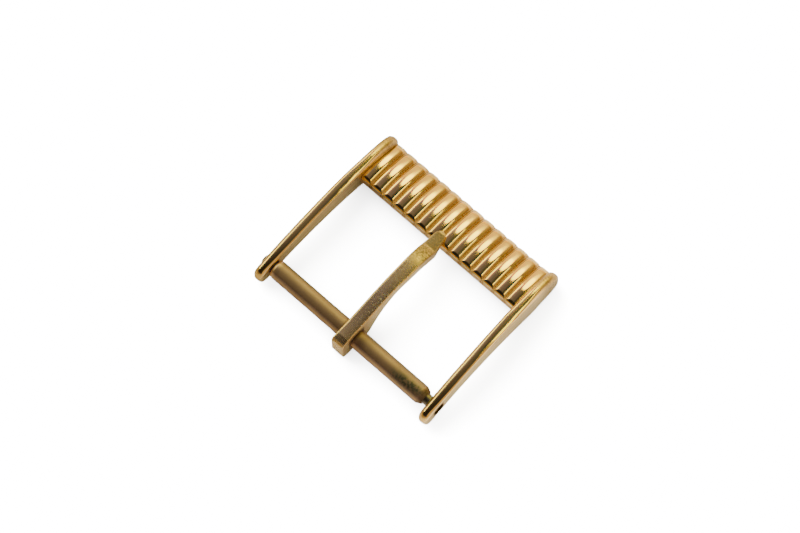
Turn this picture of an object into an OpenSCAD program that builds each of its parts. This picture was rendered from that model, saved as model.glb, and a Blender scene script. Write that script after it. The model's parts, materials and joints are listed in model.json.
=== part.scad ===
// Pin buckle for a 16 mm watch strap: a cast frame whose front bar is ribbed, a spring bar
// between the frame's two arms and a tongue that turns on it. The buckle lies on its back.
// X runs along the bars, +Y from the spring bar to the ribbed bar, +Z up from the surface.

/* [Frame] */
// Clear width between the two arms at the spring bar, which is the width of the strap
strap_w = 16; // [14:0.5:20]
// Angle by which each arm leans inwards to the front, in degrees
arm_lean = 0.8; // [0:0.1:1]
// Thickness of each arm
arm_t = 0.89; // [0.8:0.01:1]
// Height of the arms' arched top over the surface
arm_h = 3.25; // [3.2:0.05:3.4]
// Height of the arch's hollow side over the surface
arch_h = 0.94; // [0.8:0.02:1.05]
// Radius of the rounded front end of each arm
ear_r = 2.6; // [2.5:0.02:2.7]
// Radius of the rounded rear end of each arm
heel_r = 0.88; // [0.84:0.01:0.92]
// Rounding of the arms' edges
arm_edge = 0.24; // [0.1:0.02:0.3]
// Diameter of the holes that the spring bar's pins go through
hole_d = 1.06; // [1.02:0.01:1.1]

/* [Ribbed bar] */
// Distance from the spring bar's axis to the ribbed bar's rear edge
window_l = 9.62; // [9.5:0.02:9.7]
// Height of the ribs' crests over the surface
crest_h = 2.35; // [2.25:0.05:2.4]
// Height of the bar's hollow side over the surface
hollow_h = 1.2; // [1:0.05:1.3]
// Height of the front lip's lower edge over the surface
lip_h = 0.4; // [0.1:0.05:0.7]
// Number of ribs
rib_count = 14; // [10:1:18]
// Depth of the grooves between the ribs
rib_depth = 0.2; // [0.1:0.01:0.25]

/* [Spring bar] */
// Height of the spring bar's axis over the surface
axis_h = 1.5; // [1.48:0.01:1.55]
// Outer diameter of the tube
tube_d = 1.58; // [1.5:0.01:1.6]
// How much shorter the tube is than the clear width between the arms
tube_play = 0.52; // [0.4:0.02:0.7]
// How far the tube has slid to the left along its pins
tube_shift = 0.16; // [0:0.02:0.2]
// Diameter of the pins' ends
pin_d = 0.92; // [0.86:0.01:0.96]
// Length of the left pin outside the tube
pin_out_left = 1.13; // [1:0.02:1.3]
// Length of the right pin outside the tube
pin_out_right = 1.04; // [0.8:0.02:1.2]

/* [Tongue] */
// Width of the tongue
tongue_w = 1.17; // [1:0.01:1.3]
// How far the tongue sits to the left of the middle
tongue_shift = 0.07; // [0:0.01:0.5]
// Length of the tongue from the spring bar's axis to its tip
tongue_l = 10.5; // [10.4:0.02:10.7]
// Radial clearance of the tongue's eye round the tube
eye_gap = 0.04; // [0.02:0.01:0.08]

/* [Hidden] */
$fn = 96;
gold = [0.83, 0.66, 0.36];
dull_gold = [0.72, 0.58, 0.34];

// The Y middle of the whole buckle lies at the origin, so the spring bar's axis is behind it
rear_y = 1.6;
front_y = 14.15;
axis_y = -(front_y - rear_y) / 2;

// Centres of the arm's arcs, as [y from the spring bar's axis, z]
crown_r = 29;
crown_c = [7, arm_h - crown_r];
arch_r = 25;
arch_c = [4, arch_h - arch_r];
ear_c = [front_y - ear_r, 0.3];
toe_r = 1.25;
toe_c = [front_y - toe_r, toe_r];
heel_c = [-0.62, 1.42];

// The bar's top runs flat to slope_y, down a long arc to the angle nose_a, and round the nose
slope_y = 10.6;
slope_r = 6.6;
slope_c = [slope_y, crest_h - slope_r];
nose_a = 22.5;
nose_r = 1;
nose_c = slope_c + (slope_r - nose_r) * [sin(nose_a), cos(nose_a)];
lip_t = nose_r - 0.2 * rib_depth;

// The ribs' own round section, and the bar's width with its roots in the arms
rib_pitch = strap_w / rib_count;
rib_r = (rib_pitch * rib_pitch / 4 + rib_depth * rib_depth) / (2 * rib_depth);
bar_w = strap_w + arm_t;

// The spring bar's ends and its inside
tube_l = strap_w - tube_play;
tube_x0 = -tube_l / 2 - tube_shift;
tube_x1 = tube_x0 + tube_l;
tube_round = 0.24;
mouth_d = pin_d + 0.08;
chamber_d = 1.24;
head_d = 1.18;
head_l = 0.5;
mouth_l = 0.45;
pin_travel = 1.25;
tip_cut = 0.12;

// The tongue's curves, all as [y from the spring bar's axis, z]
seat_gap = 0.03;
steps = 14;

function bezier(a, b, c, d, n) = [for (i = [1:n]) let (t = i / n, s = 1 - t)
    s * s * s * a + 3 * s * s * t * b + 3 * s * t * t * c + t * t * t * d];

// Lays a shape whose Z axis is its own axis along X, with its centre at [y, z]
module along_x(c) {
    translate([0, axis_y + c[0], c[1]]) rotate([0, 90, 0]) children();
}

// Raises a [y, z] outline into a plate of thickness t that is centred on x = 0
module side_plate(t) {
    translate([-t / 2, axis_y, 0]) rotate([90, 0, 90]) linear_extrude(t) children();
}

// Half section of a disc of radius r and thickness t, with its rim rounded
module rim_section(r, t, e) {
    translate([0, -t / 2]) square([r - e, t]);
    translate([0, e - t / 2]) square([r, t - 2 * e]);
    translate([r - e, e - t / 2]) circle(e, $fn = 32);
    translate([r - e, t / 2 - e]) circle(e, $fn = 32);
}

module rounded_disc(c, r) {
    along_x(c) rotate_extrude() rim_section(r, arm_t, arm_edge);
}

// Box between two Y places, measured from the spring bar's axis, above the surface
module slab(y0, y1, h) {
    translate([-arm_t, axis_y + y0, 0]) cube([2 * arm_t, y1 - y0, h]);
}

// One arm, centred on x = 0: a long arch between a big rounded ear and a small rounded heel
module arm() {
    difference() {
        union() {
            intersection() {
                rounded_disc(crown_c, crown_r);
                slab(heel_c[0], ear_c[0], 2 * arm_h);
            }
            intersection() {
                rounded_disc(ear_c, ear_r);
                union() {
                    slab(ear_c[0] - 0.01, toe_c[0], 2 * arm_h);
                    translate([0, 0, toe_c[1]]) slab(toe_c[0] - 0.01, front_y + 1, 2 * arm_h);
                    rounded_disc(toe_c, toe_r);
                }
            }
            rounded_disc(heel_c, heel_r);
        }
        intersection() {
            along_x(arch_c) cylinder(h = 2 * arm_t, r = arch_r, center = true);
            slab(heel_c[0], ear_c[0], 2 * arm_h);
        }
    }
}

// The ribs side by side over a solid base: reach is the height of their crests, and base
// that of the section's foot
module rib_row(base, reach) {
    translate([base, -bar_w / 2]) square([reach - rib_depth - base, bar_w]);
    for (i = [0 : rib_count - 1])
        translate([reach - rib_r, (i - (rib_count - 1) / 2) * rib_pitch])
            intersection() {
                circle(rib_r);
                translate([rib_r - 1.5 * rib_depth, -rib_pitch / 2])
                    square([1.5 * rib_depth, rib_pitch]);
            }
}

// Half of space before (side = 1) or behind (side = -1) the line where slope and nose meet
module nose_half(side) {
    translate([0, axis_y + nose_c[0], nose_c[1]]) rotate([-nose_a, 0, 0])
        translate([0, side * crest_h, 0]) cube([2 * bar_w, 2 * crest_h, 4 * crest_h], center = true);
}

// Box over the whole width of the bar, between two Y places and two heights
module bar_box(y0, y1, z0, z1) {
    translate([-bar_w / 2, axis_y + y0, z0]) cube([bar_w, y1 - y0, z1 - z0]);
}

// The ribbed bar: a raised roof with a rounded nose and a plain lip, hollow below
module ribbed_bar() {
    translate([0, axis_y + window_l, 0]) rotate([-90, 0, 0]) rotate([0, 0, -90])
        linear_extrude(slope_y - window_l) rib_row(hollow_h, crest_h);
    intersection() {
        along_x(slope_c) rotate_extrude() rib_row(0.5 * slope_r, slope_r);
        nose_half(-1);
        bar_box(slope_y, front_y, hollow_h, arm_h);
    }
    intersection() {
        along_x(nose_c) rotate_extrude() rib_row(0, nose_r);
        nose_half(1);
        bar_box(nose_c[0], front_y, nose_c[1], arm_h);
    }
    bar_box(nose_c[0], nose_c[0] + lip_t, lip_h, nose_c[1]);
}

module frame() {
    color(gold) difference() {
        union() {
            for (side = [-1, 1])
                translate([side * strap_w / 2, axis_y, 0]) rotate([0, 0, side * arm_lean])
                    translate([side * arm_t / 2, -axis_y, 0]) arm();
            ribbed_bar();
        }
        along_x([0, axis_h]) cylinder(h = 2 * strap_w, d = hole_d, center = true);
    }
}

// Tube with a rounded left shoulder, a crimped right end and a mouth at each end for a pin
module bar_tube() {
    r = tube_d / 2;
    color(dull_gold) along_x([0, axis_h]) difference() {
        rotate_extrude() {
            translate([0, tube_x0]) square([r - tube_round, tube_round + 0.01]);
            translate([r - tube_round, tube_x0 + tube_round]) circle(tube_round, $fn = 32);
            translate([0, tube_x0 + tube_round]) square([r, tube_l - tube_round - 0.42]);
            polygon([[0, tube_x1 - 0.43], [r, tube_x1 - 0.43], [r - 0.2, tube_x1], [0, tube_x1]]);
        }
        for (x = [tube_x0, tube_x1]) translate([0, 0, x])
            cylinder(h = 2 * mouth_l, d = mouth_d, center = true);
        for (x = [tube_x0 + mouth_l - 0.01, tube_x1 - mouth_l - head_l - pin_travel - 0.14])
            translate([0, 0, x]) cylinder(h = head_l + pin_travel + 0.15, d = chamber_d);
    }
}

// Pin of the spring bar: the end that shows, and the head that holds it inside the tube
module pin(out) {
    rotate_extrude() {
        translate([0, -mouth_l]) square([pin_d / 2, mouth_l + out - tip_cut]);
        polygon([[0, out - tip_cut - 0.01], [pin_d / 2, out - tip_cut],
                 [pin_d / 2 - tip_cut, out], [0, out]]);
        translate([0, -mouth_l - 0.02 - head_l]) square([head_d / 2, head_l]);
        translate([0, -mouth_l - 0.03]) square([pin_d / 2, 0.04]);
    }
}

module pin_left() {
    color(dull_gold) along_x([0, axis_h]) translate([0, 0, tube_x0]) mirror([0, 0, 1])
        pin(pin_out_left);
}

module pin_right() {
    color(dull_gold) along_x([0, axis_h]) translate([0, 0, tube_x1]) pin(pin_out_right);
}

// Side outline of the tongue: eye block, arched blade and a tip that lies on the ribs
module tongue_outline() {
    seat_z = crest_h + seat_gap;
    difference() {
        polygon(concat(
            [[-1.6, 0.62], [-1.6, 2.55], [-1.4, 2.75], [-0.9, 2.87]],
            bezier([-0.9, 2.87], [1.6, 2.98], [3, 3.5], [5, 3.5], steps),
            bezier([5, 3.5], [6, 3.5], [6.8, 3.36], [7.3, 3.24], steps),
            [[8.8, seat_z + 0.48], [tongue_l - 0.2, seat_z + 0.44]],
            [[tongue_l, seat_z + 0.28], [tongue_l, seat_z + 0.1], [tongue_l - 0.1, seat_z]],
            [[window_l - 0.14, seat_z], [window_l - 0.32, seat_z - 0.18], [window_l - 0.36, 1.6]],
            bezier([window_l - 0.36, 1.6], [8.3, 1.45], [7.8, 2.46], [5.6, 2.48], steps),
            bezier([5.6, 2.48], [3.4, 2.48], [2.5, 1.4], [1.5, 0.16], steps),
            [[1.3, 0], [-0.9, 0]],
            bezier([-0.9, 0], [-1.35, 0], [-1.6, 0.25], [-1.6, 0.62], 6)));
        translate([0, axis_h]) circle(d = tube_d + 2 * eye_gap);
    }
}

module tongue() {
    color(gold) translate([-tongue_shift, 0, 0]) intersection() {
        side_plate(tongue_w) tongue_outline();
        translate([0, axis_y, -1]) linear_extrude(2 * arm_h) {
            translate([-tongue_w / 2, -2 * rear_y])
                square([tongue_w, tongue_l + 2 * rear_y - tongue_w / 2]);
            translate([0, tongue_l - tongue_w / 2]) circle(tongue_w / 2);
        }
    }
}

frame();
bar_tube();
pin_left();
pin_right();
tongue();
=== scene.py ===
# %% [markdown]
# # A pin buckle for a watch strap
# The buckle is 18 mm wide. One casting holds two arched arms and a ribbed front bar, a sprung
# bar runs between the arms' rear ends, and a flat tongue turns on it. The solids that were
# packed say where every piece is. Here each piece is made again as a smooth surface, in
# metres and in the same place, and gets the finish of worn gold plate.

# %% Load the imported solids
import json
import math
import bpy
import bmesh
import numpy as np
from mathutils import Matrix, Vector


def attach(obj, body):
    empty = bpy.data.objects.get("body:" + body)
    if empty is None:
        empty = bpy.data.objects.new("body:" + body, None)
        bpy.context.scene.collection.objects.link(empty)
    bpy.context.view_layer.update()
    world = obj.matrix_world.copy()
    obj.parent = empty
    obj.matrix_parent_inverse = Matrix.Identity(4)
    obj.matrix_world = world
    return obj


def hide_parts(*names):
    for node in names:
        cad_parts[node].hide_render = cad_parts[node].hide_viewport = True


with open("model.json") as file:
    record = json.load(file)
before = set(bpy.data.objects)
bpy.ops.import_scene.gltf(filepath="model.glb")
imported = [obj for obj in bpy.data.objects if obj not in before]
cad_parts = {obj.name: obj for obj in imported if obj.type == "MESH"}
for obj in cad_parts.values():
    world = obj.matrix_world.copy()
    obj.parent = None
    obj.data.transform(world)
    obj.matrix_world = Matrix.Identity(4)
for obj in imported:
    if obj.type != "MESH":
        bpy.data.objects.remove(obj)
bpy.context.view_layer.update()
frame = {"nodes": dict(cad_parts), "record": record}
scene = bpy.context.scene
MM = 0.001
print("nodes", sorted(frame["nodes"]))

# %% [markdown]
# ## The sizes
# Every length is measured as on the drawing: in millimetres, with y counted from the spring
# bar's axis towards the ribbed bar and z from the surface that the buckle lies on. The axis
# itself is read from the tongue's hinge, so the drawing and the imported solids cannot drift
# apart.

# %% Name the sizes of the buckle
hinge = next(j for j in frame["record"]["behaviour"]["joints"] if j["name"] == "tongue_turn")
axis_y, axis_z = (value / MM for value in hinge["pos_m"][1:])
strap_w = 16.0
arm_t, arm_lean = 0.89, math.radians(0.8)
crest_h, hollow_h, lip_h = 2.35, 1.2, 0.4
window_l = 9.62
rib_count, rib_depth = 14, 0.2
tube_r, pin_r, hole_r = 0.79, 0.46, 0.53
tongue_w, tongue_x, tongue_l = 1.17, -0.07, 10.5
print("spring bar's axis at y %.3f mm, z %.3f mm" % (axis_y, axis_z))

# %% [markdown]
# ## Two simple curves
# Many things fade in or out along the buckle: a corner grows rounder, a stretch is more worn
# or more dirty. Two curves say all of it. One rises in a straight line from 0 to 1, and the
# other is a bump, which is 1 in its middle and close to 0 outside its width.

# %% Define the two curves
def rise(value, start, length):
    """0 up to the start, 1 from start + length on, and a straight line in between."""
    return np.clip((value - start) / length, 0, 1)


def bump(value, middle, width, power=2):
    """exp(-(distance from the middle / width) ** power); a power of 4 is flatter on top."""
    return np.exp(-((value - middle) / width) ** power)


# %% [markdown]
# ## From arrays to a mesh
# A surface here is a grid of points: rows of rings, each ring a closed loop round the piece.
# Numpy works all the points out at once, and this cell hands them to Blender. The end rings
# are drawn in to one point, so that the skin is closed, and the points that then coincide are
# merged. Edges sharper than a given angle stay sharp, and the rest is shaded smooth.

# %% Turn rings of points into a closed mesh
def closed_rings(rings):
    """Adds, at both ends of a stack of rings, one ring at the last ring's own middle."""
    first = np.broadcast_to(rings[:1].mean(axis=1, keepdims=True), rings[:1].shape)
    last = np.broadcast_to(rings[-1:].mean(axis=1, keepdims=True), rings[-1:].shape)
    return np.concatenate([first, rings, last])


def ring_mesh(name, rings, marks, sharp_deg=32):
    """Joins point k of each ring to point k + 1 and to the same points of the next ring.

    rings is an array (ring, point, 3) in millimetres, and marks maps an attribute's name to
    an array (ring, point) of numbers from 0 to 1 that the materials read.
    """
    rows, cols = rings.shape[:2]
    index = np.arange(rows * cols).reshape(rows, cols)
    turned = np.roll(index, -1, axis=1)
    quads = np.stack([index[:-1], turned[:-1], turned[1:], index[1:]], axis=-1).reshape(-1, 4)
    mesh = bpy.data.meshes.new(name)
    mesh.vertices.add(rows * cols)
    mesh.vertices.foreach_set("co", (rings * MM).ravel())
    mesh.loops.add(quads.size)
    mesh.loops.foreach_set("vertex_index", quads.ravel())
    mesh.polygons.add(len(quads))
    mesh.polygons.foreach_set("loop_start", np.arange(0, quads.size, 4))
    for mark, values in marks.items():
        layer = mesh.attributes.new(mark, "FLOAT", "POINT")
        layer.data.foreach_set("value", np.ascontiguousarray(values, dtype=np.float32).ravel())
    mesh.update(calc_edges=True)
    work = bmesh.new()
    work.from_mesh(mesh)
    bmesh.ops.remove_doubles(work, verts=work.verts, dist=1e-8)
    bmesh.ops.recalc_face_normals(work, faces=work.faces)
    work.to_mesh(mesh)
    work.free()
    mesh.shade_smooth()
    mesh.set_sharp_from_angle(angle=math.radians(sharp_deg))
    piece = bpy.data.objects.new(name, mesh)
    scene.collection.objects.link(piece)
    return piece


def padded_marks(values):
    """Repeats the end rows of a mark, to match the two rings that close a skin."""
    return np.concatenate([values[:1], values, values[-1:]])


# %% [markdown]
# ## A bar between two rails
# The arms and the tongue are both bars whose side view matters most. Their side view is two
# curves, a rail along the top and one along the underside, and across them the bar is a
# rectangle with round corners and a slightly crowned top. So one function serves both: it
# sets such a rectangle upright between the rails at each station along the bar.

# %% Define the rounded rectangle and the bar between rails
worn_w, worn_turn = 0.34, 0.12
thin_h = 0.3
corner_limit = 0.98


def rectangle_loop(corner_steps=10, top_steps=14):
    """Signs and directions of a rounded rectangle's points, from +x over the top to -x.

    Each corner is a quarter circle from angle a to a + 90 degrees. The points in between on
    the top edge carry a fraction that says how far along the edge they lie.
    """
    quarter = np.linspace(0, math.pi / 2, corner_steps + 1)
    signs = [(1, 1), (-1, 1), (-1, -1), (1, -1)]
    sx = np.concatenate([np.full(corner_steps + 1, s[0]) for s in signs])
    sz = np.concatenate([np.full(corner_steps + 1, s[1]) for s in signs])
    angle = np.concatenate([quarter + k * math.pi / 2 for k in range(4)])
    across = np.linspace(1, -1, top_steps + 2)[1:-1]
    split = corner_steps + 1
    sx = np.concatenate([sx[:split], across, sx[split:]])
    sz = np.concatenate([sz[:split], np.ones(top_steps), sz[split:]])
    angle = np.concatenate([angle[:split], np.full(top_steps, math.pi / 2), angle[split:]])
    return sx, sz, angle


def bar_between_rails(y, top, low, half_w, round_top, round_low, crown=0.0, round_right=None,
                      bevel=0.0):
    """Points of a bar: x is half_w wide to each side, z runs from low to top at each y.

    round_top and round_low are the radii of the upper and lower corners at each station, and
    round_right, where given, is that of the upper corner on the +x side.

    A corner point is the corner's centre, which lies one radius inside both edges, plus the
    radius in the point's own direction. No radius passes corner_limit of the bar's half width
    or half height. crown, a number or one for each station, lowers the top by the square of
    x / half_w. bevel is the slope of a worn strip along the +x edge, worn_w wide, and the top
    bends into it over its first worn_turn. Where the bar is thinner than twice thin_h, towards
    its ends, crown and strip fade out.
    Returns the rings and the mark "side", which is 1 on the upright sides.
    """
    sx, sz, angle = rectangle_loop()
    radius = np.where(sz > 0, round_top[:, None], round_low[:, None])
    if round_right is not None:
        radius = np.where((sz > 0) & (sx > 0), round_right[:, None], radius)
    half_h = (top - low)[:, None] / 2
    radius = np.minimum(radius, np.minimum(half_h, half_w[:, None]) * corner_limit)
    x = sx * (half_w[:, None] - radius) + radius * np.cos(angle)
    z = (top + low)[:, None] / 2 + sz * (half_h - radius) + radius * np.sin(angle)
    onto_strip = np.maximum(x - half_w.max() + worn_w, 0)
    turn_in = np.minimum(onto_strip, worn_turn)
    worn = np.reshape(bevel, (-1, 1)) * (onto_strip - turn_in + turn_in ** 2 / (2 * worn_turn))
    lower = np.reshape(crown, (-1, 1)) * (x / half_w.max()) ** 2 + worn
    z = z - np.where(sz > 0, np.minimum(1, half_h / thin_h) ** 3 * lower, 0)
    rings = np.stack([x, np.broadcast_to(y[:, None], x.shape), z], axis=-1)
    # The side mark is where the finish paints its side tone, a painted reflection of the bright
    # table on the arms' and tongue's sides.
    side = np.broadcast_to(np.abs(np.cos(angle)) ** 4, x.shape)
    return rings, {"side": side}


def end_rounding(gap, radius):
    """How far a round end draws a side in, at a gap before the end: a quarter circle."""
    return radius - np.sqrt(np.maximum(radius ** 2 - np.maximum(radius - gap, 0) ** 2, 0))


# %% [markdown]
# ## Drilled holes
# The arms are drilled for the spring bar's pins, and the tongue for its tube. A hole is cut
# as on the bench: a plain cylinder is taken away from the finished piece. Blender's exact
# Boolean does it, its result is kept as the piece's own mesh, and the cutter is thrown away.
# The walls of such holes get the full mark for painted shade, which darkens them as shade inside
# a hole would. A point is on the wall if it lies within on_wall millimetres of the cylinder.

# %% Drill a piece along X
on_wall = 2e-3


def drill(piece, radius, y, z, reach, sides=96, sharp_deg=32):
    """Takes a cylinder round the line (y, z) away from the piece, from -reach to reach in x."""
    turn = np.linspace(0, 2 * math.pi, sides, endpoint=False)
    circle = np.stack([np.zeros(sides), y + radius * np.cos(turn), z + radius * np.sin(turn)], -1)
    ends = np.array([-reach, reach])[:, None, None] * np.array([1.0, 0, 0])
    cutter = ring_mesh("cutter", closed_rings(circle[None] + ends), {})
    cut = piece.modifiers.new("hole", "BOOLEAN")
    cut.operation = "DIFFERENCE"
    cut.solver = "EXACT"
    cut.object = cutter
    graph = bpy.context.evaluated_depsgraph_get()
    shape = bpy.data.meshes.new_from_object(piece.evaluated_get(graph))
    piece.modifiers.clear()
    old, piece.data = piece.data, shape
    shape.name = piece.name
    shape.shade_smooth()
    shape.set_sharp_from_angle(angle=math.radians(sharp_deg))
    place = np.empty(len(shape.vertices) * 3)
    shape.vertices.foreach_get("co", place)
    place = place.reshape(-1, 3) / MM
    # Painted shade: the hole's walls get the full dark mark.
    in_hole = np.abs(np.hypot(place[:, 1] - y, place[:, 2] - z) - radius) < on_wall
    grime_and_shade = np.empty(len(place))
    shape.attributes["grime_and_shade"].data.foreach_get("value", grime_and_shade)
    shape.attributes["grime_and_shade"].data.foreach_set("value", np.where(in_hole, 1, grime_and_shade))
    bpy.data.meshes.remove(old)
    bpy.data.objects.remove(cutter)


# %% [markdown]
# ## The arms
# Seen from the side an arm is a long shallow arch. Its top is one wide arc that drops into a
# big rounded ear in front and a small rounded heel behind, and its underside is the arch,
# which lands on the surface under the ear. The edges of the casting were tumbled round, most
# of all at both ends, which is why light runs along them as a thin bright line.

# %% Work out the arm's side view
arm_rear, arm_front, crown_z = -1.58, 14.085, 3.25
ear_joints, ear_sines = (7.0, 9.4, 11.2, 13.0, arm_front), (0, 0.075, 0.12, 0.36, 1)
heel_joints, heel_sines = (-7.0, 0.85, -arm_rear), (0, 0.271, 1)
heel_c, heel_r = (-0.80, 1.2), 0.78
arch_h, arch_r = 0.94, 25.0
arch_c = (4.0, arch_h - arch_r)
toe_r = 1.25
toe_c = (12.9, toe_r)


def arc_height(y, centre, radius, side=1):
    """Height of a circle over (side = 1) or under (-1) its centre: z + side * sqrt(r2 - dy2)."""
    height = np.sqrt(np.maximum(radius ** 2 - (y - centre[0]) ** 2, 0))
    return centre[1] + side * height


def soft_max(a, b, width):
    """The larger of two heights, with the corner between them rounded over the given width."""
    gap = np.maximum(width - np.abs(a - b), 0)
    return np.maximum(a, b) + gap ** 2 / (4 * width)


def chained_arcs(y, joints, sines, start_z):
    """Height of a run of circle arcs, each of which touches the next.

    On a circle the sine of the slope's angle grows evenly with y, by 1 / radius. So the sine
    at each joint settles the arcs, and an arc falls by its radius times the fall in cosine.
    """
    height = np.full_like(y, start_z)
    for y0, y1, s0, s1 in zip(joints[:-1], joints[1:], sines[:-1], sines[1:]):
        radius = (y1 - y0) / (s1 - s0)
        sine = s0 + (np.clip(y, y0, y1) - y0) / radius
        height -= radius * (math.sqrt(1 - s0 ** 2) - np.sqrt(np.maximum(1 - sine ** 2, 0)))
    return height


def arm_rails(y):
    """Top and underside of the arm at y; the heel's run of arcs goes backwards, so in -y.

    Where a curve of the underside doesn't reach, it is put out of the way, above the arm.
    """
    above, half_way = 9.0, 6.0
    ahead = chained_arcs(y, ear_joints, ear_sines, crown_z)
    behind = chained_arcs(-y, heel_joints, heel_sines, crown_z)
    top = np.where(y > ear_joints[0], ahead, behind)
    arch = np.where(y > heel_c[0], arc_height(y, arch_c, arch_r), above)
    heel_low = np.where(y < heel_c[0] + 0.5, arc_height(y, heel_c, heel_r, -1), above)
    toe = np.where(y > toe_c[0], arc_height(y, toe_c, toe_r, -1), 0)
    in_front = np.maximum(soft_max(arch, 0, 0.05), toe)
    return top, np.where(y < half_way, np.minimum(arch, heel_low), in_front)


# %% [markdown]
# The stations lie closer together towards both ends, where the arm curves most. Along the way
# the left upper corner has the radius arm_round. The right one, arm_ridge, is sharper between
# the ends, so that light runs along it, and wear has flattened a narrow strip beside it.

# %% Build and drill both arms
stations = 240
run = (1 - np.cos(np.linspace(0, math.pi, stations))) / 2
arm_y = arm_rear + (arm_front - arm_rear) * run
arm_top, arm_low = arm_rails(arm_y)
arm_low = np.minimum(arm_low, arm_top - 1e-3)
to_heel = rise(-arm_y, -2.4, 3.4)
arm_round = 0.42 - 0.13 * rise(arm_y, 4.5, 4) + 0.04 * rise(arm_y, 9, 4.5)
arm_ridge = 0.16 + 0.2 * to_heel ** 2 - 0.07 * rise(arm_y, 5.5, 1.5) + 0.24 * rise(arm_y, 9, 3)
arm_crown = 0.035 + 0.14 * rise(arm_y, 8.4, 3.2)
arm_low_round = np.full(stations, 0.1)
end_round = 0.43
end_gap = np.minimum(arm_y - arm_rear, arm_front - arm_y)
arm_half = arm_t / 2 - end_rounding(end_gap, end_round)


def make_arm(name, side, worn_from):
    """One arm: the bar between its rails, leaned inwards to the front about its rear inner face.

    side is -1 for the left arm and 1 for the right one, and worn_from is where the worn strip
    along its +x edge begins. Painted shade darkens the inner corner with the ribbed bar and the
    ring round the hole, and the ear, where it dims the highlight. The ear is rougher too, and a
    stretch of the rear half is a little rougher.
    """
    bevel = 0.2 * rise(arm_y, worn_from, 1.2) * rise(-arm_y, -10.5, 1.5)
    rings, marks = bar_between_rails(arm_y, arm_top, arm_low, arm_half, arm_round,
                                     arm_low_round, arm_crown, arm_ridge, bevel)
    x = rings[..., 0] + side * arm_t / 2
    y = rings[..., 1]
    turn = side * arm_lean
    placed = np.stack([side * strap_w / 2 + x * math.cos(turn) - y * math.sin(turn),
                       axis_y + x * math.sin(turn) + y * math.cos(turn), rings[..., 2]], -1)
    # Painted shade: darker in the inner corner by the ribbed bar, round the hole, and over the ear,
    # where it dims the highlight.
    inner = (side * rings[..., 0] < -0.2) & (rings[..., 2] < crest_h + 0.35)
    shade_by_bar = rise(y, window_l - 0.3, 0.4) * inner
    shade_by_hole = bump(np.hypot(y, rings[..., 2] - axis_z), hole_r, 0.22) * marks["side"]
    marks["grime_and_shade"] = np.maximum(np.maximum(0.35 * shade_by_bar, 0.9 * shade_by_hole), 0.62 * rise(y, 11.2, 1.5))
    marks["satin"] = 0.3 * bump(y, 3.2, 2, 4) + 0.6 * rise(y, 11, 1.5)
    marks = {mark: padded_marks(values) for mark, values in marks.items()}
    piece = ring_mesh(name, closed_rings(placed), marks)
    drill(piece, hole_r, axis_y, axis_z, reach=12)
    return piece


arms = [make_arm("arm_left", -1, 6.3), make_arm("arm_right", 1, 4.0)]
print("arm height %.2f mm, faces" % arm_top.max(), [len(a.data.polygons) for a in arms])

# %% [markdown]
# ## The ribbed bar
# The front bar is a raised roof under which the strap passes. Its side view is one closed
# outline: up the rear wall, round a small corner, along the flat crest, down a long slope,
# round the nose, and back along the lip and the hollow. All its points are [y, z] in
# millimetres. Each point of the upper side has beside it the way out of the surface, which
# counts as straight up on the small corner.

# %% Work out the bar's outline
slope_y, slope_r = 10.38, 6.2
slope_c = np.array([slope_y, crest_h - slope_r])
nose_a, nose_r, straight_l = math.radians(22.5), 1.0, 0.62
nose_c = slope_c + (slope_r - nose_r) * np.array([math.sin(nose_a), math.cos(nose_a)])
nose_c = nose_c + straight_l * np.array([math.cos(nose_a), -math.sin(nose_a)])
lip_y = nose_c[0] + nose_r - 0.04
corner_r, corner_count = 0.4, 16


def arc_points(centre, radius, start, end, count):
    """Points and outward normals of an arc; angles are measured from +z towards +y."""
    angle = np.linspace(start, end, count)
    normal = np.stack([np.sin(angle), np.cos(angle)], -1)
    return np.asarray(centre) + radius * normal, normal


def line_points(a, b, count):
    """Points of a straight stretch, and the normal that lies to its left as it runs."""
    a, b = np.asarray(a), np.asarray(b)
    share = np.linspace(0, 1, count)[:, None]
    step = (b - a) / np.hypot(*(b - a))
    return a + share * (b - a), np.tile([-step[1], step[0]], (count, 1))


wall_top = crest_h - corner_r
corner = arc_points((window_l + corner_r, wall_top), corner_r, -math.pi / 2, 0, corner_count)[0]
flat, flat_n = line_points((window_l + corner_r, crest_h), (slope_y, crest_h), 8)
slope, slope_n = arc_points(slope_c, slope_r, 0, nose_a, 26)
nose, nose_n = arc_points(nose_c, nose_r, nose_a, math.pi / 2, 30)
plain = np.array([
    [lip_y, nose_c[1] - 0.03], [lip_y, lip_h + 0.08], [lip_y - 0.08, lip_h],
    [nose_c[0] + 0.05, lip_h], [nose_c[0], lip_h + 0.05], [nose_c[0], hollow_h - 0.1],
    [nose_c[0] - 0.1, hollow_h], [window_l + 0.06, hollow_h], [window_l, hollow_h + 0.06]])
upper = np.concatenate([corner, flat[1:], slope[1:], nose[1:]])
straight_up = np.tile([0.0, 1.0], (corner_count, 1))
upper_n = np.concatenate([straight_up, flat_n[1:], slope_n[1:], nose_n[1:]])
outline = np.concatenate([upper, plain])
outline_n = np.concatenate([upper_n, np.zeros_like(plain)])
print("outline of %d points, nose reaches y %.2f" % (len(outline), outline[:, 0].max()))
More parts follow.
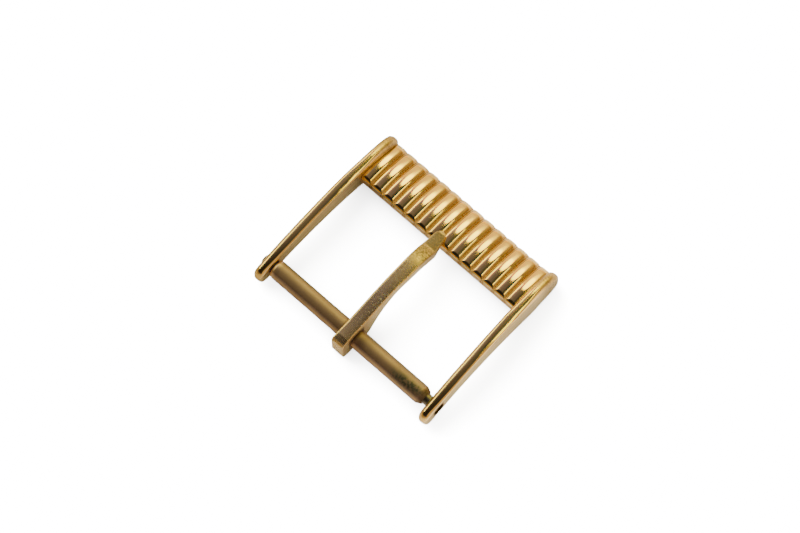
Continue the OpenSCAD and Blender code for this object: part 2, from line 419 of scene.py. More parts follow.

# %% [markdown]
# That outline is carried along X. On its upper side every point is pushed in, along its own
# normal, by the depth of the grooves there. The depth grows with the cube of the distance from
# a rib's crest, which leaves the crests broad and the valleys steep, and the very bottom of a
# valley is rounded a little. Round the nose the grooves fade to less than half their depth.
# Painted shade darkens the valleys, less so along their very bottoms, and the strip beside the
# arms. The bar's rear wall counts as an upright side, so it takes this finish's side tone, which
# is a painted shade, a darker brown.

# %% Push the grooves in and build the bar
columns_per_rib = 28
bar_x = np.linspace(-strap_w / 2, strap_w / 2, rib_count * columns_per_rib + 1)
pitch = strap_w / rib_count
across = (bar_x + strap_w / 2) / pitch
off_crest = (across - np.floor(across) - 0.5) * pitch
to_valley = pitch / 2 - np.abs(off_crest)
groove = rib_depth * (np.abs(off_crest) / (pitch / 2)) ** 3
valley_w = 0.075
groove = groove - 0.3 * np.maximum(valley_w - to_valley, 0) ** 2 / valley_w
steepness = np.degrees(np.arctan2(upper_n[:, 0], upper_n[:, 1]))
fading = 1 - 0.6 * rise(steepness, 50, 25)
behind_corner = np.zeros(len(upper) - corner_count)
corner_drop = np.concatenate([crest_h - corner[:, 1], behind_corner])
push = np.clip(groove[:, None] * fading - corner_drop, 0, None)
push = np.concatenate([push, np.zeros((len(groove), len(plain)))], axis=1)
bar_yz = outline - push[..., None] * outline_n
bar_rings = np.stack([np.broadcast_to(bar_x[:, None], bar_yz.shape[:2]),
                      axis_y + bar_yz[..., 0], bar_yz[..., 1]], -1)
on_top = np.concatenate([np.ones(len(upper)), np.zeros(len(plain))])
# Painted shade: the valleys, less along their very bottoms, and the strip beside the arms are
# darkened.
valley = bump(to_valley, 0, 0.17, 4) - 0.7 * bump(to_valley, 0, 0.035)
shade_by_arm = bump(np.abs(bar_x), strap_w / 2 - 0.13, 0.16)
dirt_and_shade = np.maximum(valley, shade_by_arm)[:, None] * on_top
on_wall_below = np.concatenate([np.zeros(len(plain) - 2), np.ones(2)])
# The rear wall takes the side mark, so it is painted with the bar's darker side tone, a painted
# shade.
rear_wall = np.concatenate([1 - rise(corner[:, 1], wall_top, 0.08), behind_corner, on_wall_below])
bar_marks = {"side": np.broadcast_to(rear_wall, push.shape), "grime_and_shade": dirt_and_shade}
ribbed_bar = ring_mesh("ribbed_bar", closed_rings(bar_rings),
                       {mark: padded_marks(values) for mark, values in bar_marks.items()})
print("ribbed bar:", len(ribbed_bar.data.polygons), "faces")

# %% [markdown]
# ## The tongue
# The tongue is one piece: an eye block that the tube goes through, a blade that arches over
# the window and bends down, and a flat tip that lies on the ribs. Its rails are cubic curves
# between a few points of the side view. They are sampled at stations, whose distances from
# the tongue's rear end are the steps: closest together at the rear end, in the bend, which
# begins at bend_s, and on the last tip_l of the tip.

# %% Work out the tongue's side view
seat_z = crest_h + 0.03
tongue_rear = 1.6
rear_l, blade_s, bend_s, bend_l, tip_l = 0.3, 8.86, 9.3, 1.04, 0.56


def bezier(a, b, c, d, count=40):
    """Cubic curve from a to d with its ends drawn towards b and c, without its first point."""
    t = np.linspace(0, 1, count + 1)[1:, None]
    a, b, c, d = (np.asarray(p, float) for p in (a, b, c, d))
    return (1 - t) ** 3 * a + 3 * (1 - t) ** 2 * t * b + 3 * (1 - t) * t ** 2 * c + t ** 3 * d


top_rail = np.concatenate([
    [[-tongue_rear, 2.5], [-1.57, 2.58], [-1.4, 2.75], [-0.9, 2.87]],
    bezier([-0.9, 2.87], [1.6, 2.98], [3, 3.5], [5, 3.5]),
    bezier([5, 3.5], [6, 3.5], [6.6, 3.48], [7.1, 3.43]),
    bezier([7.1, 3.43], [7.75, 3.365], [8.3, 3.09], [8.8, seat_z + 0.39]),
    [[tongue_l - 0.25, seat_z + 0.4], [tongue_l - 0.08, seat_z + 0.32], [tongue_l, seat_z + 0.2]]])
low_rail = np.concatenate([
    [[-tongue_rear, 0.62]],
    bezier([-tongue_rear, 0.62], [-tongue_rear, 0.25], [-1.35, 0], [-0.9, 0], 12),
    [[1.3, 0], [1.5, 0.16]],
    bezier([1.5, 0.16], [2.5, 1.4], [3.4, 2.48], [5.6, 2.48]),
    bezier([5.6, 2.48], [7.8, 2.46], [8.3, 1.45], [window_l - 0.36, 1.6]),
    [[window_l - 0.32, seat_z - 0.18], [window_l - 0.14, seat_z],
     [tongue_l - 0.1, seat_z], [tongue_l, seat_z + 0.1]]])
steps = np.concatenate([
    np.linspace(0, rear_l, 12) ** 2, np.linspace(0.1, rear_l, 6)[1:],
    np.linspace(rear_l, blade_s, 150)[1:], np.linspace(blade_s, bend_s, 16)[1:],
    bend_s + np.linspace(0, bend_l, 30)[1:],
    tongue_rear + tongue_l - tip_l * (1 - np.sin(np.linspace(0, math.pi / 2, 26)[1:]))])
steps = np.unique(np.concatenate([steps, tongue_rear + np.array([-1.4, -0.9, 8.79, 8.81]),
                                  tongue_rear + np.linspace(7.1, 8.75, 34)]))
tongue_y = steps - tongue_rear
tongue_top = np.interp(tongue_y, top_rail[:, 0], top_rail[:, 1])
tongue_low = np.interp(tongue_y, low_rail[:, 0], low_rail[:, 1])

# %% [markdown]
# From above the tip narrows like the end of an ellipse. Painted shade darkens the eye where it
# meets the tube, and the bend and the tip, where it dims their highlights. The strap has scuffed
# the rear half of the blade, most of all on its right. A shallow swelling on the right side makes
# the blade widest just before the bend.

# %% Build the tongue and drill its eye
tip_y, tip_half, sharp_bend = 8.7, 0.02, 13
rear_round, low_round = 0.07, 0.07
past = rise(tongue_y, tip_y, tongue_l - tip_y)
tongue_half = tip_half + (tongue_w / 2 - tip_half) * np.sqrt(1 - past ** 2.7)
tongue_half = tongue_half - end_rounding(tongue_y + tongue_rear, rear_round)
tongue_round = np.interp(tongue_y, [-1.5, 0, 7.3, 8.8, 10.3], [0.12, 0.19, 0.17, 0.15, 0.1])
rings, tongue_marks = bar_between_rails(tongue_y, tongue_top, tongue_low, tongue_half,
                                        tongue_round, np.full(len(tongue_y), low_round),
                                        0.03, 0.6 * tongue_round)
x, y, z = rings[..., 0], rings[..., 1], rings[..., 2]
# Painted shade: beside the tube, over the bend and over the tip, where it dims their highlights.
shade_by_tube = bump(np.hypot(y, z - axis_z), tube_r + 0.1, 0.25) * tongue_marks["side"]
shade_on_bend = bump(y, 7.95, 0.95, 4) * (1 - tongue_marks["side"])
tongue_marks["grime_and_shade"] = shade_by_tube + np.maximum(0.9 * shade_on_bend, 0.6 * rise(y, 8.85, 0.1))
tongue_marks["scuff"] = rise(-np.abs(y - 2.6), -3, 3) * rise(x, -0.25, 0.5)
swelling = 0.09 * bump(y, 7.2, 2.2, 4) * (x > 0)
rings = np.stack([x + swelling + tongue_x, y + axis_y, z], -1)
tongue = ring_mesh("tongue_blade", closed_rings(rings),
                   {mark: padded_marks(values) for mark, values in tongue_marks.items()},
                   sharp_bend)
drill(tongue, tube_r + 0.04, axis_y, axis_z, reach=3, sharp_deg=sharp_bend)
print("tongue: %.2f mm long, %d faces" % (tongue_l, len(tongue.data.polygons)))

# %% [markdown]
# ## The spring bar
# A spring bar is turned on a lathe, so each of its pieces is a profile spun round the X axis:
# pairs of a place along X and a radius. The left shoulder of the tube is round, its right end
# is crimped to a cone, and both are drilled for the pins, whose heads sit inside.

# %% Spin a profile round the spring bar's axis
def spun(name, profile, marks_of, sides=128, sharp_deg=32):
    """Spins (x, radius) pairs: y and z are the radius times the sine and cosine of the turn."""
    profile = np.asarray(profile, float)
    turn = np.linspace(0, 2 * math.pi, sides, endpoint=False)
    rings = np.stack([np.repeat(profile[:, :1], sides, axis=1),
                      axis_y + profile[:, 1:] * np.sin(turn),
                      axis_z + profile[:, 1:] * np.cos(turn)], -1)
    marks = {mark: np.broadcast_to(values, rings.shape[:2])
             for mark, values in marks_of(profile[:, :1], profile[:, 1:], turn).items()}
    return ring_mesh(name, rings, marks, sharp_deg)


def along(points, spacing=0.12):
    """Adds points between the corners of a profile, none further apart than the spacing."""
    points = np.asarray(points, float)
    lengths = np.hypot(*np.diff(points, axis=0).T)
    at = np.concatenate([[0], np.cumsum(lengths)])
    extra = np.concatenate([np.linspace(a, b, max(2, int((b - a) / spacing) + 2))[:-1]
                            for a, b in zip(at[:-1], at[1:])] + [[at[-1]]])
    return np.stack([np.interp(extra, at, points[:, 0]), np.interp(extra, at, points[:, 1])], -1)


# %% Turn the tube and the pins
tube_x0, tube_x1 = -7.9, 7.58
mouth_r, chamber_r, bore_l, shoulder_l = pin_r + 0.04, 0.62, 2.34, 0.44
round_r = 0.29
shoulder = np.linspace(0, math.pi / 2, 12)
left_end = np.stack([tube_x0 + round_r - round_r * np.cos(shoulder),
                     tube_r - round_r + round_r * np.sin(shoulder)], -1)
tube_profile = np.concatenate([
    along([[tube_x0 + bore_l, 0], [tube_x0 + bore_l, chamber_r], [tube_x0 + shoulder_l, chamber_r],
           [tube_x0 + shoulder_l, mouth_r], [tube_x0, mouth_r]]),
    left_end,
    along([[tube_x0 + 0.31, tube_r], [tube_x1 - 0.47, tube_r],
           [tube_x1 - 0.43, tube_r - 0.01]])[1:],
    along([[tube_x1 - 0.4, tube_r - 0.02], [tube_x1 - 0.03, tube_r - 0.2], [tube_x1, tube_r - 0.22],
           [tube_x1, mouth_r], [tube_x1 - shoulder_l, mouth_r], [tube_x1 - shoulder_l, chamber_r],
           [tube_x1 - bore_l, chamber_r], [tube_x1 - bore_l, 0]])])


def tube_marks(x, radius, turn):
    """Grime beside the tongue's eye and at the crimped end, and a bare patch behind on the right.

    The turn round the tube is counted from the top towards +Y, from -pi to pi. Two lines of the
    tube are painted lighter, painted highlights, and a dark line between them is a painted
    reflection of the dark room. The marks beside the tongue's eye are painted shade, and the
    crimped end is painted darker. In the bare patch the plating has worn through to grey metal:
    a bump in x times a bump in the turn, whose middle slants round the tube. The left shoulder
    is painted light too, a painted highlight, and is polished, less rough.
    """
    turn = (turn + math.pi) % (2 * math.pi) - math.pi
    outside = radius > 0.55
    # Painted shade beside the tongue's eye, a darker crimped end, and a painted dark reflection
    # line round the tube.
    shade_by_tongue = bump(np.abs(x - tongue_x), tongue_w / 2, 0.18)
    crimp = rise(x, tube_x1 - 0.45, 0.2)
    dark_reflection_line = bump(turn, -0.7, 0.1)
    grime_and_shade = np.maximum(np.maximum(0.7 * shade_by_tongue, 0.6 * crimp), 0.4 * dark_reflection_line)
    # Painted highlights: two lighter lines and the left shoulder, carried by the side mark.
    painted_highlights = 0.3 * bump(turn, 0.5, 0.2) + 0.6 * bump(turn, -1.15, 0.22)
    painted_highlights = np.maximum(painted_highlights, 1 - rise(x, tube_x0 + 0.2, 0.3))
    bare = bump(x, 5.9, 1.5, 4) * bump(turn, -0.1 - 0.12 * (7.4 - x), 0.5)
    satin = rise(x, tube_x0 + 0.3, 0.3)
    return {"side": painted_highlights * outside, "bare": bare, "satin": satin, "grime_and_shade": grime_and_shade * outside}


tube = spun("spring_bar_tube", tube_profile, tube_marks)


def make_pin(name, mouth_x, out, side):
    """A pin whose end stands out of the tube's mouth; the edges of tip and head are rounded."""
    head = [[-0.97, 0], [-0.97, 0.53], [-0.92, 0.585], [-0.52, 0.585], [-0.48, 0.55],
            [-0.48, pin_r]]
    end = [[out - 0.12, pin_r], [out - 0.05, pin_r - 0.05], [out, pin_r - 0.12], [out, 0]]
    profile = along(head + end) * [side, 1] + [mouth_x, 0]

    def pin_marks(x, radius, turn):
        """A thin even film of grime."""
        return {"side": np.zeros_like(x), "grime_and_shade": np.full_like(x, 0.3)}

    return spun(name, profile, pin_marks, sides=72)


pins = [make_pin("spring_bar_pin_left", tube_x0, 1.13, -1),
        make_pin("spring_bar_pin_right", tube_x1, 1.04, 1)]
print("tube %.2f mm long, %.2f mm thick" % (tube_x1 - tube_x0, 2 * tube_r))

# %% [markdown]
# ## Short ways to add nodes
# The finishes, the paper and the room are all small networks of nodes. Most of their nodes do
# one of three things: they calculate, mix two colours or change a range. So each of these is
# a function, which takes numbers, colours or other nodes' outputs alike.

# %% Define the three kinds of node
def feed(tree, socket, value):
    """Gives a socket its value: a link for a node's output, else a colour or a number."""
    if isinstance(value, bpy.types.NodeSocket):
        tree.links.new(value, socket)
    elif isinstance(value, tuple):
        socket.default_value = (*value, 1)
    else:
        socket.default_value = value


def calculated(tree, operation, a, b=0.0, c=0.0):
    """The result of one operation on a, b and, where it takes three numbers, c."""
    node = tree.nodes.new("ShaderNodeMath")
    node.operation = operation
    for socket, value in zip(node.inputs, (a, b, c)):
        feed(tree, socket, value)
    return node.outputs[0]


def mixed(tree, share, a, b):
    """Colour a where the share is 0 and b where it is 1.

    A Mix node has sockets for every kind of value: inputs 6 and 7 and output 2 are colours.
    """
    node = tree.nodes.new("ShaderNodeMix")
    node.data_type = "RGBA"
    for socket, value in zip((node.inputs[0], node.inputs[6], node.inputs[7]), (share, a, b)):
        feed(tree, socket, value)
    return node.outputs[2]


def ranged(tree, source, start, end, kind="LINEAR"):
    """0 where the source is at start, 1 where it is at end."""
    node = tree.nodes.new("ShaderNodeMapRange")
    node.interpolation_type = kind
    for name, value in (("Value", source), ("From Min", start), ("From Max", end)):
        feed(tree, node.inputs[name], value)
    return node.outputs["Result"]


# %% [markdown]
# ## Shared wear
# Gold plate never looks even. It has wide cloudy patches where it has dulled, small bright
# specks where it was rubbed and fine scratches that run one way. All the finishes need these,
# at different sizes, so they are made once as a node group. The group gives only patterns:
# what each finish does with them is settled in the material itself.

# %% Build the group that holds the wear patterns
def build_wear_group():
    """Patches, specks, scratches and a fine mottle, worked out from the piece's own coordinates."""
    group = bpy.data.node_groups.new("wear_patterns", "ShaderNodeTree")
    group.interface.new_socket("Vector", in_out="INPUT", socket_type="NodeSocketVector")
    for name, default in (("Patch Scale", 400), ("Speck Scale", 4000), ("Scratch Scale", 9000),
                          ("Stretch X", 1), ("Stretch Y", 0.05)):
        socket = group.interface.new_socket(name, in_out="INPUT", socket_type="NodeSocketFloat")
        socket.default_value = default
    for name in ("Patches", "Specks", "Scratches", "Mottle"):
        group.interface.new_socket(name, in_out="OUTPUT", socket_type="NodeSocketFloat")
    nodes, link = group.nodes, group.links.new
    start, end = nodes.new("NodeGroupInput"), nodes.new("NodeGroupOutput")

    def noise(vector, scale, detail, rough, low, high):
        """Noise whose values from low to high are stretched to 0 to 1."""
        tex = nodes.new("ShaderNodeTexNoise")
        tex.inputs["Detail"].default_value = detail
        tex.inputs["Roughness"].default_value = rough
        link(vector, tex.inputs["Vector"])
        link(start.outputs[scale], tex.inputs["Scale"])
        return ranged(group, tex.outputs["Fac"], low, high)

    stretch = nodes.new("ShaderNodeCombineXYZ")
    link(start.outputs["Stretch X"], stretch.inputs["X"])
    link(start.outputs["Stretch Y"], stretch.inputs["Y"])
    stretch.inputs["Z"].default_value = 1.0
    drawn = nodes.new("ShaderNodeVectorMath")
    drawn.operation = "MULTIPLY"
    link(start.outputs["Vector"], drawn.inputs[0])
    link(stretch.outputs[0], drawn.inputs[1])
    link(noise(start.outputs["Vector"], "Patch Scale", 4, 0.6, 0.35, 0.68), end.inputs["Patches"])
    link(noise(start.outputs["Vector"], "Speck Scale", 3, 0.7, 0.56, 0.66), end.inputs["Specks"])
    link(noise(drawn.outputs[0], "Scratch Scale", 2, 0.5, 0.3, 0.7), end.inputs["Scratches"])
    link(noise(start.outputs["Vector"], "Speck Scale", 2, 0.5, 0.3, 0.7), end.inputs["Mottle"])
    return group


wear_group = build_wear_group()
print("wear patterns:", [s.name for s in wear_group.interface.items_tree])

# %% [markdown]
# ## Gold plate
# A polished metal is mostly what it mirrors, so its colour only tints the light. The tops are
# bright and fairly smooth. The upright sides are rougher, and their side tone is painted light:
# lighter on the arms and the tongue, a painted reflection of the bright table, and a darker
# brown on the ribbed bar's rear wall, a painted shade. On the spring bar's tube the same mark
# paints two lighter lines and the left shoulder, painted highlights. Corners, grooves, holes,
# the arms' ears and the tongue's bend and tip get a dark brown, which is painted shade and also
# takes the shine; a dark line round the tube is a painted reflection, and on the pins the same
# mark is a thin even film of dirt. The marks that were stored on the surfaces say where the
# sides and the painted shade are, and where the plate is scuffed, satin or rubbed through to
# the bare metal.

# %% Make the gold finishes
SPECK_COLOUR, BARE_METAL = (1.0, 0.9, 0.7), (0.12, 0.115, 0.09)
SCRATCH_DEPTH = 0.000004


def gold_finish(name, gold, painted_side_tone, dull, dirt_and_shade, rough, side_rough, specks, scratch, sizes, stretch):
    """One finish: gold on top, pale on the sides, dull in patches, dirt where grime is marked.

    rough and side_rough are the roughness of the tops and of the sides; specks and scratch say
    how strong those patterns are; sizes are the scales of patches, specks and scratches, and
    stretch draws the scratches out: the smaller number is along the way that they run. The side
    tone is painted light. The dark colour that marked corners, grooves and holes get is painted
    shade; on the pins it is an even film of soil. Soil, painted shade and bare metal are
    mottled, so that none ends in an even edge.
    """
    material = bpy.data.materials.new(name)
    material.use_nodes = True
    tree = material.node_tree
    nodes, link = tree.nodes, tree.links.new
    nodes.clear()
    shader = nodes.new("ShaderNodeBsdfPrincipled")
    shader.inputs["Metallic"].default_value = 1.0
    shader.inputs["IOR"].default_value = 1.5
    link(shader.outputs[0], nodes.new("ShaderNodeOutputMaterial").inputs["Surface"])
    place = nodes.new("ShaderNodeTexCoord")
    wear = nodes.new("ShaderNodeGroup")
    wear.node_tree = wear_group
    link(place.outputs["Object"], wear.inputs["Vector"])
    for socket, size in zip(("Patch Scale", "Speck Scale", "Scratch Scale"), sizes):
        wear.inputs[socket].default_value = size
    wear.inputs["Stretch X"].default_value, wear.inputs["Stretch Y"].default_value = stretch

    def mark(attribute):
        """The number that the surface stores under this name, 0 where it stores none."""
        node = nodes.new("ShaderNodeAttribute")
        node.attribute_name = attribute
        return node.outputs["Fac"]

    def times(a, b):
        """a * b"""
        return calculated(tree, "MULTIPLY", a, b)

    def times_plus(a, b, c):
        """a * b + c"""
        return calculated(tree, "MULTIPLY_ADD", a, b, c)

    patches, mottle = wear.outputs["Patches"], wear.outputs["Mottle"]
    # Dark marked colour: mostly painted shade in corners, grooves, holes and over dimmed
    # highlights; on the pins an even film of dirt.
    dirt_and_shade_share = calculated(tree, "MINIMUM", times(mark("grime_and_shade"), times_plus(mottle, 0.5, 0.55)), 1.0)
    bare = calculated(tree, "MINIMUM", times(mark("bare"), times_plus(mottle, 1.1, 0.3)), 1.0)
    speck = times(wear.outputs["Specks"], times_plus(mark("scuff"), specks, 0.2 * specks))
    # The side mark paints the side tone: a painted reflection on arm and tongue sides, painted
    # shade on the bar's rear wall, painted highlights on the tube.
    side = mark("side")
    colour = mixed(tree, times(patches, 0.6), gold, dull)
    colour = mixed(tree, times(side, times_plus(patches, -0.2, 1.0)), colour, painted_side_tone)
    colour = mixed(tree, speck, colour, SPECK_COLOUR)
    colour = mixed(tree, bare, colour, BARE_METAL)
    link(mixed(tree, dirt_and_shade_share, colour, dirt_and_shade), shader.inputs["Base Color"])
    roughness = times_plus(patches, 0.05, rough)
    roughness = times_plus(side, side_rough - rough, roughness)
    roughness = times_plus(mark("satin"), 0.2, roughness)
    roughness = times_plus(speck, 0.25, roughness)
    link(times_plus(dirt_and_shade_share, 0.25, roughness), shader.inputs["Roughness"])
    relief = nodes.new("ShaderNodeBump")
    relief.inputs["Strength"].default_value = scratch
    relief.inputs["Distance"].default_value = SCRATCH_DEPTH
    height = calculated(tree, "ADD", wear.outputs["Scratches"], times(mottle, 0.15))
    link(height, relief.inputs["Height"])
    link(relief.outputs["Normal"], shader.inputs["Normal"])
    return material


polished_gold = gold_finish(
    "polished_gold", gold=(0.92, 0.59, 0.18), painted_side_tone=(0.50, 0.33, 0.11), dull=(0.76, 0.48, 0.14),
    dirt_and_shade=(0.27, 0.12, 0.025), rough=0.11, side_rough=0.4, specks=0.1, scratch=0.05,
    sizes=(350, 6000, 9000), stretch=(1, 0.05))
satin_gold = gold_finish(
    "satin_gold", gold=(0.93, 0.61, 0.19), painted_side_tone=(0.94, 0.71, 0.37), dull=(0.84, 0.54, 0.16),
    dirt_and_shade=(0.10, 0.06, 0.03), rough=0.13, side_rough=0.34, specks=0.3, scratch=0.03,
    sizes=(350, 6000, 9000), stretch=(1, 0.3))
scuffed_gold = gold_finish(
    "scuffed_gold", gold=(0.92, 0.62, 0.21), painted_side_tone=(0.86, 0.62, 0.30), dull=(0.86, 0.62, 0.34),
    dirt_and_shade=(0.08, 0.05, 0.03), rough=0.23, side_rough=0.36, specks=1.0, scratch=0.2,
    sizes=(500, 7000, 9000), stretch=(1, 0.1))
dull_gold = gold_finish(
    "dull_gold", gold=(0.385, 0.262, 0.20), painted_side_tone=(0.76, 0.52, 0.31), dull=(0.275, 0.19, 0.145),
    dirt_and_shade=(0.07, 0.05, 0.03), rough=0.35, side_rough=0.4, specks=0.2, scratch=0.3,
    sizes=(450, 5000, 7000), stretch=(0.06, 1))
worn_steel = gold_finish(
    "worn_steel", gold=(0.24, 0.19, 0.14), painted_side_tone=(0.24, 0.19, 0.14), dull=(0.17, 0.14, 0.11),
    dirt_and_shade=(0.06, 0.05, 0.04), rough=0.32, side_rough=0.4, specks=0.2, scratch=0.3,
    sizes=(900, 5000, 7000), stretch=(1, 1))
print("finishes:", [m.name for m in (polished_gold, satin_gold, scuffed_gold, dull_gold,
                                      worn_steel)])

# %% [markdown]
# ## Joining the frame
# Each new piece takes its finish, hides the imported solid that it stands for and rides on the
# body that it moves with. Each row also names a finish slot, which the code doesn't use. The
# arms and the ribbed bar are one casting, so all three stand for the frame and ride on it.

# %% Dress the pieces and let them ride on their bodies
dressing = [
    (arms, "frame", "frame", "gold_frame", satin_gold),
    ([ribbed_bar], "frame", "frame", "gold_frame", polished_gold),
    ([tongue], "tongue", "tongue", "gold_tongue", scuffed_gold),
    ([tube], "bar_tube", "bar_tube", "gold_spring_bar", dull_gold),
    ([pins[0]], "pin_left", "pin_left", "gold_spring_bar", worn_steel),
    ([pins[1]], "pin_right", "pin_right", "gold_spring_bar", worn_steel)]
for group, node, body, slot, finish in dressing:
    for piece in group:
        piece.data.materials.clear()
        piece.data.materials.append(finish)
        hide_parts(node)
        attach(piece, body)
print("pieces:", [piece.name for group, *_ in dressing for piece in group])

# %% [markdown]
# ## The table and the light
# In the photograph the paper is so bright that it is pure white, and only a soft shadow shows
# on the right. The metal however mirrors large soft panels in a dark room. Both can't come
# from the same lamps, so the work is shared: two wide suns light the paper and are kept out of
# the metal, and the panels are what the metal mirrors. A picture taker does the same with
# paper that is lit from its own lamps. In the metal the paper is dim, and less so towards the
# right.

# %% Lay the table
PAPER_WHITE, PAPER_ALBEDO = 22.0, 0.95


def seen_or_mirrored(tree, seen, mirrored):
    """Gives the shader seen to the eye and the shader mirrored to the metal."""
    ray = tree.nodes.new("ShaderNodeLightPath")
    pick = tree.nodes.new("ShaderNodeMixShader")
    tree.links.new(ray.outputs["Is Camera Ray"], pick.inputs[0])
    tree.links.new(mirrored.outputs[0], pick.inputs[1])
    tree.links.new(seen.outputs[0], pick.inputs[2])
    return pick


table = bpy.data.meshes.new("table")
half = 6.0
table.from_pydata([(-half, -half, 0), (half, -half, 0), (half, half, 0), (-half, half, 0)],
                  [], [(0, 1, 2, 3)])
table = bpy.data.objects.new("table", table)
scene.collection.objects.link(table)
paper = bpy.data.materials.new("white_paper")
paper.use_nodes = True
tree = paper.node_tree
tree.nodes.clear()
sheet, mirrored_sheet = (tree.nodes.new("ShaderNodeBsdfDiffuse") for _ in range(2))
sheet.inputs["Color"].default_value = (PAPER_ALBEDO, PAPER_ALBEDO, PAPER_ALBEDO, 1)
place = tree.nodes.new("ShaderNodeTexCoord")
rightwards = tree.nodes.new("ShaderNodeVectorMath")
rightwards.operation = "DOT_PRODUCT"
rightwards.inputs[1].default_value = (0.8, 0.6, 0)
tree.links.new(place.outputs["Object"], rightwards.inputs[0])
brighter = ranged(tree, rightwards.outputs["Value"], -7 * MM, 8 * MM)
dim_left, dim_right = (0.032, 0.027, 0.018), (0.085, 0.076, 0.060)
shade = mixed(tree, brighter, dim_left, dim_right)
tree.links.new(shade, mirrored_sheet.inputs["Color"])
tree.links.new(seen_or_mirrored(tree, sheet, mirrored_sheet).outputs[0],
               tree.nodes.new("ShaderNodeOutputMaterial").inputs["Surface"])
table.data.materials.append(paper)


# %% [markdown]
# The wider a sun, the softer its shadows. The one on the left casts the shadow that shows on
# the right of the buckle, and the one above, nearly as wide as the sky, fills it.

# %% Light the paper
def paper_sun(name, share, spread, from_x, from_y):
    """A wide sun that metal doesn't mirror; share is its part of the paper's brightness.

    A matt sheet under a sun of strength E shows E * cos(slant) * albedo / pi. from_x and
    from_y are the degrees by which the sun stands off the zenith towards +X and +Y.
    """
    light = bpy.data.lights.new(name, "SUN")
    light.angle = math.radians(spread)
    slant = Vector((math.tan(math.radians(from_x)), math.tan(math.radians(from_y)), 1))
    slant.normalize()
    light.energy = share * PAPER_WHITE * math.pi / PAPER_ALBEDO / slant.z
    lamp = bpy.data.objects.new(name, light)
    lamp.rotation_euler = slant.to_track_quat("Z", "Y").to_euler()
    lamp.visible_glossy = False
    scene.collection.objects.link(lamp)


paper_sun("sun_left", 0.47, 54, -46, 6)
paper_sun("sun_above", 0.53, 160, 0, 0)


# %% [markdown]
# The long bright spindles on the ribs mirror one oval panel beyond the ribbed bar, and a dimmer
# rim round it softens their edges. A tall panel further right draws the thin lines beside the
# grooves and along the arms' ridges, and a low long one on the left lights the left flanks.

# %% Hang the panels
def panel(name, to_x, to_y, wide, high, radiance, tint, turn=0, shape="RECTANGLE", far=0.3):
    """A soft panel seen to_x degrees from the zenith towards +X and to_y towards +Y.

    wide and high are the angles that it covers; its power is its radiance times pi times its
    area, which keeps its brightness whatever its size. turn spins it about its own middle.
    """
    zenith = math.radians(math.hypot(to_x, to_y))
    heading = math.atan2(to_y, to_x)
    way = Vector((math.sin(zenith) * math.cos(heading), math.sin(zenith) * math.sin(heading),
                  math.cos(zenith)))
    light = bpy.data.lights.new(name, "AREA")
    light.shape = shape
    light.size = 2 * far * math.tan(math.radians(wide) / 2)
    light.size_y = 2 * far * math.tan(math.radians(high) / 2)
    light.energy = radiance * math.pi * light.size * light.size_y
    light.color = tint
    lamp = bpy.data.objects.new(name, light)
    side = Vector((0, 0, 1)).cross(way).normalized()
    side = Matrix.Rotation(math.radians(turn), 3, way) @ side
    upward = way.cross(side)
    lamp.matrix_world = Matrix((
        (side.x, upward.x, way.x, way.x * far), (side.y, upward.y, way.y, way.y * far),
        (side.z, upward.z, way.z, way.z * far), (0, 0, 0, 1)))
    lamp.visible_camera = False
    scene.collection.objects.link(lamp)


yellow, cream = (1.0, 1.0, 0.16), (1.0, 0.98, 0.42)
panel("panel_back_left", -11, 43, 19, 25, 3.4, yellow, -12, "ELLIPSE")
panel("panel_back_left_rim", -10, 46, 25, 31, 1.7, yellow, -12, "ELLIPSE", far=0.32)
panel("panel_back_right", 24, 27, 10, 30, 4.0, yellow, 42)
panel("panel_left", -57, 2, 62, 15, 4.5, cream)

# %% [markdown]
# Behind the panels is a dim room, which gives the metal its dark tones. It is worked out from
# the direction alone: cool on the left, nearly black towards the spring bar's side, with a
# warm glow on the right, lighter walls near the table and the brightest one in front. The
# camera itself sees white there, like the paper.

# %% Darken the room that the metal mirrors
room = bpy.data.worlds.new("room")
room.use_nodes = True
scene.world = room
tree = room.node_tree
nodes, link = tree.nodes, tree.links.new
nodes.clear()
way = nodes.new("ShaderNodeTexCoord")
parts = nodes.new("ShaderNodeSeparateXYZ")
link(way.outputs["Generated"], parts.inputs[0])


def soft_step(source, start, end):
    """A soft step from 0 at start to 1 at end."""
    return ranged(tree, source, start, end, "SMOOTHSTEP")


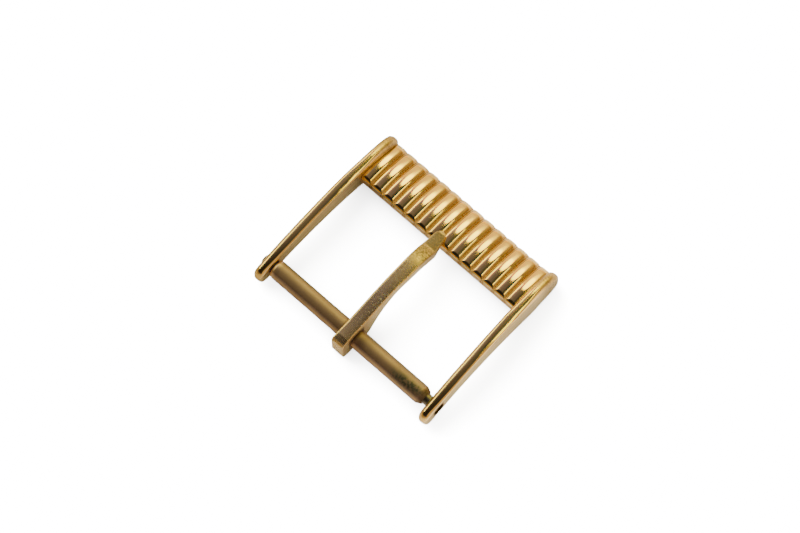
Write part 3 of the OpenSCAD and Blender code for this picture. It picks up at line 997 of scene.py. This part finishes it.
to_x, to_y, height = parts.outputs["X"], parts.outputs["Y"], parts.outputs["Z"]
cool_left, dim_above = (0.235, 0.24, 0.40), (0.07, 0.068, 0.09)
dark_rear, warm_right = (0.02, 0.016, 0.014), (0.75, 0.58, 0.36)
low_left, low_right = (0.34, 0.27, 0.19), (0.58, 0.49, 0.40)
front_left, front_right = (1.5, 1.2, 0.55), (0.55, 0.38, 0.14)
tone = mixed(tree, soft_step(to_x, -0.4, 0.0), cool_left, dim_above)
tone = mixed(tree, soft_step(to_y, 0.05, -0.35), tone, dark_rear)
tone = mixed(tree, soft_step(to_x, 0.42, 0.62), tone, warm_right)
low_walls = mixed(tree, soft_step(to_x, -0.3, 0.5), low_left, low_right)
tone = mixed(tree, soft_step(height, 0.45, 0.15), tone, low_walls)
front_wall = mixed(tree, soft_step(to_x, -0.45, 0.35), front_left, front_right)
in_front = calculated(tree, "MULTIPLY", soft_step(height, 0.85, 0.4), soft_step(to_y, -0.2, 0.6))
tone = mixed(tree, in_front, tone, front_wall)
mirrored_room, seen_room = nodes.new("ShaderNodeBackground"), nodes.new("ShaderNodeBackground")
link(tone, mirrored_room.inputs["Color"])
seen_room.inputs["Color"].default_value = (1, 1, 1, 1)
seen_room.inputs["Strength"].default_value = PAPER_WHITE
link(seen_or_mirrored(tree, seen_room, mirrored_room).outputs[0],
     nodes.new("ShaderNodeOutputWorld").inputs["Surface"])

# %% [markdown]
# ## The camera
# The photograph was taken from high above with a long lens. Its angles and distance were
# worked out from the corners of the buckle, so the camera stands where the photographer's did.

# %% Place the camera
azimuth, elevation = math.radians(-47.746), math.radians(71.048)
distance, pixels_per_mm, photo_width = 331.96, 13.115, 800
target = Vector((-0.93, 0.185, 1.5)) * MM
back = Vector((math.cos(elevation) * math.cos(azimuth), math.cos(elevation) * math.sin(azimuth),
               math.sin(elevation)))
right = Vector((-math.sin(azimuth), math.cos(azimuth), 0))
up = back.cross(right)
lens = bpy.data.cameras.new("camera")
lens.sensor_width = 36
lens.lens = pixels_per_mm * distance * lens.sensor_width / photo_width
lens.clip_start, lens.clip_end = 0.01, 20
camera = bpy.data.objects.new("camera", lens)
spot = target + back * distance * MM
camera.matrix_world = Matrix((
    (right.x, up.x, back.x, spot.x), (right.y, up.y, back.y, spot.y),
    (right.z, up.z, back.z, spot.z), (0, 0, 0, 1)))
scene.collection.objects.link(camera)
scene.camera = camera
print("lens %.1f mm, %.0f mm away" % (lens.lens, distance))

# %% [markdown]
# ## Finishing
# The view layer is brought up to date.

# %% Finish
bpy.context.view_layer.update()
